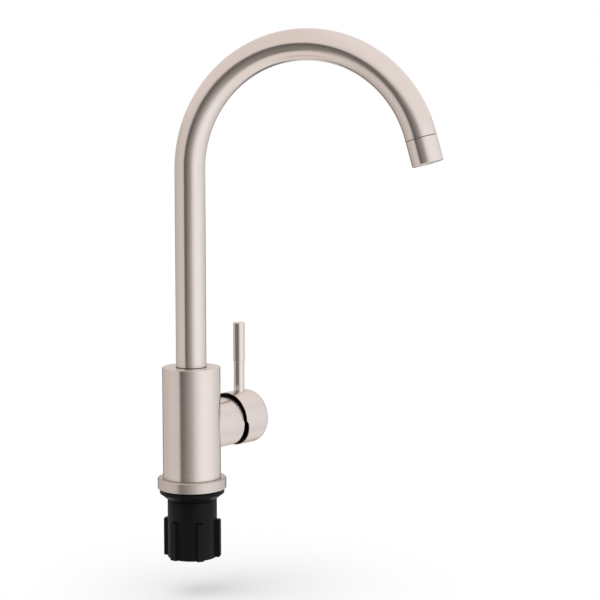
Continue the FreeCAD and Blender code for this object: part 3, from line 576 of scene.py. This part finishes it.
def painted_hub_shade(tree):
    """1 inside the hub, nearer to its axis than the bore's wall and short of its solid end. Else 0. Where it
    is 1, the steel is painted dark as painted shade.
    """
    along, out = from_axis(tree, SIDEWAYS, HUB_CENTRE)
    reach = add(tree, "ShaderNodeVectorMath", {"operation": "LENGTH", 0: out})
    depth = add(tree, "ShaderNodeVectorMath", {"operation": "LENGTH", 0: along})
    near = add(tree, "ShaderNodeMath", {"operation": "LESS_THAN", 0: reach.outputs["Value"], 1: HUB_BORE})
    early = add(tree, "ShaderNodeMath", {"operation": "LESS_THAN", 0: depth.outputs["Value"], 1: HUB_SOLID})
    return add(tree, "ShaderNodeMath", {
        "operation": "MULTIPLY", 0: near.outputs[0], 1: early.outputs[0]}).outputs[0]


# Inside its bore the hub's steel is painted dark, as painted shade in the gap round the stub.
hub_steel = brushed_stainless(
    "brushed_stainless_steel_hub", lines_round(SIDEWAYS, HUB_CENTRE), gloss_across(SIDEWAYS, HUB_CENTRE),
    roughness=0.25, painted_shade=painted_hub_shade)
dress("handle_hub", hub_steel)
dress("hub_set_screw", machined_steel)
lever_steel = brushed_stainless(
    "turned_stainless_steel_lever", lines_round(UPRIGHT, LEVER_FOOT), gloss_across(UPRIGHT, LEVER_FOOT),
    roughness=0.16)
dress("lever_rod", lever_steel)

# Floor: a pale painted floor just below the nut's lowest place, which is seen through from below.
# Near the faucet it takes the shadow, and further out it goes over to plain white, as the background is.
FLOOR_SIZE = 3.0
FLOOR_FADE = (0.06, 0.26)
FLOOR_PAINT = "#FBFBFB"
WHITE = "#FFFFFF"
NUT_TRAVEL = 30.0 * MM
FLOOR_GAP = 0.5 * MM
floor_height = NUT_BOTTOM - NUT_TRAVEL - FLOOR_GAP


def stage_piece(name, points, faces, material):
    """A flat or bent sheet of the stage."""
    mesh = bpy.data.meshes.new(name)
    mesh.from_pydata(points, [], faces)
    mesh.materials.append(material)
    sheet = bpy.data.objects.new(name, mesh)
    bpy.context.scene.collection.objects.link(sheet)
    return sheet


def seen_by_eye(tree):
    """1 for what the camera sees straight, mirrored or through glass, and 0 for light on its way."""
    path = add(tree, "ShaderNodeLightPath", {})
    seen = add(tree, "ShaderNodeMath", {
        "operation": "MAXIMUM", 0: path.outputs["Is Camera Ray"], 1: path.outputs["Is Glossy Ray"]})
    return add(tree, "ShaderNodeMath", {
        "operation": "MAXIMUM", 0: seen.outputs[0], 1: path.outputs["Is Transmission Ray"]}).outputs[0]


def clear_from_behind(tree, front):
    """The shader on a sheet's front, and nothing on its back."""
    side = add(tree, "ShaderNodeNewGeometry", {})
    clear = add(tree, "ShaderNodeBsdfTransparent", {})
    return add(tree, "ShaderNodeMixShader", {
        0: side.outputs["Backfacing"], 1: front.outputs[0], 2: clear.outputs[0]})


floor_paint, floor_tree = new_material("pale_floor_paint")
floor_place = add(floor_tree, "ShaderNodeTexCoord", {}).outputs["Object"]
floor_level = add(floor_tree, "ShaderNodeVectorMath", {
    "operation": "MULTIPLY", 0: floor_place, 1: LEVEL})
floor_reach = add(floor_tree, "ShaderNodeVectorMath", {"operation": "LENGTH", 0: floor_level.outputs[0]})
floor_fade = add(floor_tree, "ShaderNodeMapRange", {
    "interpolation_type": "SMOOTHSTEP", "Value": floor_reach.outputs["Value"],
    "From Min": FLOOR_FADE[0], "From Max": FLOOR_FADE[1]})
floor_white = add(floor_tree, "ShaderNodeMath", {
    "operation": "MULTIPLY", 0: floor_fade.outputs[0], 1: seen_by_eye(floor_tree)})
floor_coat = add(floor_tree, "ShaderNodeBsdfDiffuse", {"Color": linear(FLOOR_PAINT)})
floor_light = add(floor_tree, "ShaderNodeEmission", {"Color": linear(WHITE), "Strength": 1.0})
floor_top = add(floor_tree, "ShaderNodeMixShader", {
    0: floor_white.outputs[0], 1: floor_coat.outputs[0], 2: floor_light.outputs[0]})
close(floor_tree, clear_from_behind(floor_tree, floor_top))
floor_half = FLOOR_SIZE / 2
floor = stage_piece("floor", [
    (-floor_half, -floor_half, floor_height), (floor_half, -floor_half, floor_height),
    (floor_half, floor_half, floor_height), (-floor_half, floor_half, floor_height)],
    [(0, 1, 2, 3)], floor_paint)
floor.visible_glossy = False

# Light tent: strips of grey and white cloth hung in a ring round the faucet, with a pale ground sheet and a
# pale roof. Only reflections see it, and it gives the bands that a studio leaves on metal.
# Its angles are degrees from the side on which the camera stands.
TENT_RADIUS = 0.6
TENT_DEPTH = 0.28
TENT_WAIST = 0.20
TENT_CHEST = 0.32
TENT_SHOULDER = 0.44
TENT_PEAK = 1.15
TENT_STEPS = 240
CAMERA_SIDE = 220.0
TENT_CLOTH = {
    -180: "#DDD7D2", -160: "#D8D2CD", -142: "#CBC3BB", -115: "#CEC6BE", -80: "#D9D4D1", -44: "#D9D4D1",
    -41: "#4E4A46", -30: "#66625D", -15: "#8E8A84", 5: "#B7B2AF", 25: "#ECE8E8", 45: "#FFFFFF",
    70: "#FFFFFF", 90: "#F7F6F7", 115: "#E5E2E2", 140: "#DCD8D6", 160: "#F6F4F3", 180: "#DDD7D2"}
TENT_SHEET = "#E9E1DC"
TENT_SHEET_LIT = "#F5F0ED"
LIT_ANGLES = (-30, 20, 130, 180)
LIT_SHARES = (0.0, 1.0, 1.0, 0.0)
TOP_ANGLES = (-50, -40, -28, -16, 8, 25)
TOP_SHADES = (1.0, 0.85, 0.4, 0.4, 0.45, 1.0)
FOOT_ANGLES = (-45, -40, -28, -12)
FOOT_GAINS = (1.0, 1.7, 1.4, 1.0)
FLAG_ANGLES = (-172, -166, -150, -144, 146, 152, 168, 174)
FLAG_SHADES = (1.0, 0.2, 0.2, 1.0, 1.0, 0.2, 0.2, 1.0)


def tent():
    """Rings of points: the middle and edge of the ground sheet, the wall's foot, waist, chest and shoulder,
    and the roof's edge and peak. The wall's colour at an angle lies between those of its two nearest strips.
    Black flags darken it up to the waist, its dark strips are lighter at the foot and darker from the chest
    up, and the ground sheet and the roof are paler on the lit side."""
    angle = np.linspace(-180, 180, TENT_STEPS, endpoint=False)
    turn = np.radians(CAMERA_SIDE + angle)
    ground = floor_height - TENT_DEPTH
    heights = np.array([
        ground, ground, ground, TENT_WAIST, TENT_CHEST, TENT_SHOULDER, TENT_SHOULDER, TENT_PEAK])
    radii = TENT_RADIUS * np.array([0, 1, 1, 1, 1, 1, 1, 0])
    flat = np.stack([np.cos(turn), np.sin(turn), np.zeros(TENT_STEPS)], axis=-1)
    grid = radii[:, None, None] * flat + heights[:, None, None] * UP
    index = np.arange(len(radii) * TENT_STEPS).reshape(-1, TENT_STEPS)
    faces = cells(np.pad(index, ((0, 0), (0, 1)), mode="wrap")).reshape(-1, 4)
    strips = np.array([linear(colour) for colour in TENT_CLOTH.values()])
    wall = np.stack([np.interp(angle, list(TENT_CLOTH), channel) for channel in strips.T], axis=-1)
    waist = wall * np.interp(angle, FLAG_ANGLES, FLAG_SHADES)[:, None]
    foot = waist * np.interp(angle, FOOT_ANGLES, FOOT_GAINS)[:, None]
    top = wall * np.interp(angle, TOP_ANGLES, TOP_SHADES)[:, None]
    lit = np.interp(angle, LIT_ANGLES, LIT_SHARES)[:, None]
    sheet = (1 - lit) * np.array(linear(TENT_SHEET)) + lit * np.array(linear(TENT_SHEET_LIT))
    colours = np.vstack([sheet, sheet, foot, waist, top, top, sheet, sheet])
    return grid.reshape(-1, 3), faces, colours


def only_mirrored(sheet):
    """Let reflections alone see a sheet: the camera doesn't, and it gives no soft light and no shadow."""
    sheet.visible_camera = False
    sheet.visible_diffuse = False
    sheet.visible_shadow = False


tent_cloth, tent_tree = new_material("tent_cloth")
tent_colour = add(tent_tree, "ShaderNodeAttribute", {"attribute_name": "cloth"})
close(tent_tree, add(tent_tree, "ShaderNodeEmission", {
    "Color": tent_colour.outputs["Color"], "Strength": 1.0}))
tent_points, tent_faces, tent_colours = tent()
light_tent = stage_piece("light_tent", tent_points, tent_faces, tent_cloth)
cloth = light_tent.data.attributes.new("cloth", "FLOAT_COLOR", "POINT")
cloth.data.foreach_set("color", tent_colours.reshape(-1))
only_mirrored(light_tent)

# Lever card: a small grey card between the riser and the lever, with its face to the lever and seen through
# from behind. Only reflections see it, and it shades the lever's inner side.
CARD = "#7C766F"
CARD_PLACE = 40.0 * MM
CARD_HALF = 13.0 * MM
CARD_LOW = 76.0 * MM
CARD_HIGH = 136.0 * MM
card_paper, card_tree = new_material("grey_card")
card_face = add(card_tree, "ShaderNodeEmission", {"Color": linear(CARD), "Strength": 1.0})
close(card_tree, clear_from_behind(card_tree, card_face))
card = stage_piece("lever_card", [
    (CARD_PLACE, -CARD_HALF, CARD_LOW), (CARD_PLACE, CARD_HALF, CARD_LOW),
    (CARD_PLACE, CARD_HALF, CARD_HIGH), (CARD_PLACE, -CARD_HALF, CARD_HIGH)],
    [(0, 1, 2, 3)], card_paper)
only_mirrored(card)

# Room: white all round, and a little weaker as a light than as a background.
# One large soft lamp, which no reflection shows, hangs high up on the camera's left.
ROOM_LIGHT = 0.92
LAMP_PLACE = (-0.9, 0.5, 1.3)
LAMP_SIZE = 1.4
LAMP_WATTS = 6.0
world = bpy.data.worlds.new("white_room")
bpy.context.scene.world = world
world.use_nodes = True
room = world.node_tree
room.nodes.clear()
room_light = add(room, "ShaderNodeMapRange", {
    "Value": seen_by_eye(room), "To Min": ROOM_LIGHT, "To Max": 1.0})
room_white = add(room, "ShaderNodeBackground", {"Color": linear(WHITE), "Strength": room_light.outputs[0]})
add(room, "ShaderNodeOutputWorld", {"Surface": room_white.outputs[0]})

lamp_data = bpy.data.lights.new("softbox", "AREA")
lamp_data.size = LAMP_SIZE
lamp_data.energy = LAMP_WATTS
lamp = bpy.data.objects.new("softbox", lamp_data)
lamp.location = LAMP_PLACE
lamp.rotation_euler = (-lamp.location).to_track_quat("-Z", "Y").to_euler()
lamp.visible_glossy = False
bpy.context.scene.collection.objects.link(lamp)

# Camera: it stands to the left of the front, at three quarters of the faucet's height, and looks slightly
# down. Its place and lens are fitted to the outlines of the tube and the body in the photograph.
CAMERA_PLACE = (-0.88183, -0.85709, 0.27972)
CAMERA_DOWN = math.radians(5.7525)
CAMERA_TURN = math.radians(-50.0)
CAMERA_LENS = 90.0
camera_data = bpy.data.cameras.new("camera")
camera_data.lens = CAMERA_LENS
camera = bpy.data.objects.new("camera", camera_data)
camera.location = CAMERA_PLACE
camera.rotation_euler = (math.pi / 2 - CAMERA_DOWN, 0, CAMERA_TURN)
bpy.context.scene.collection.objects.link(camera)
bpy.context.scene.camera = camera
bpy.context.scene.view_settings.view_transform = "Standard"
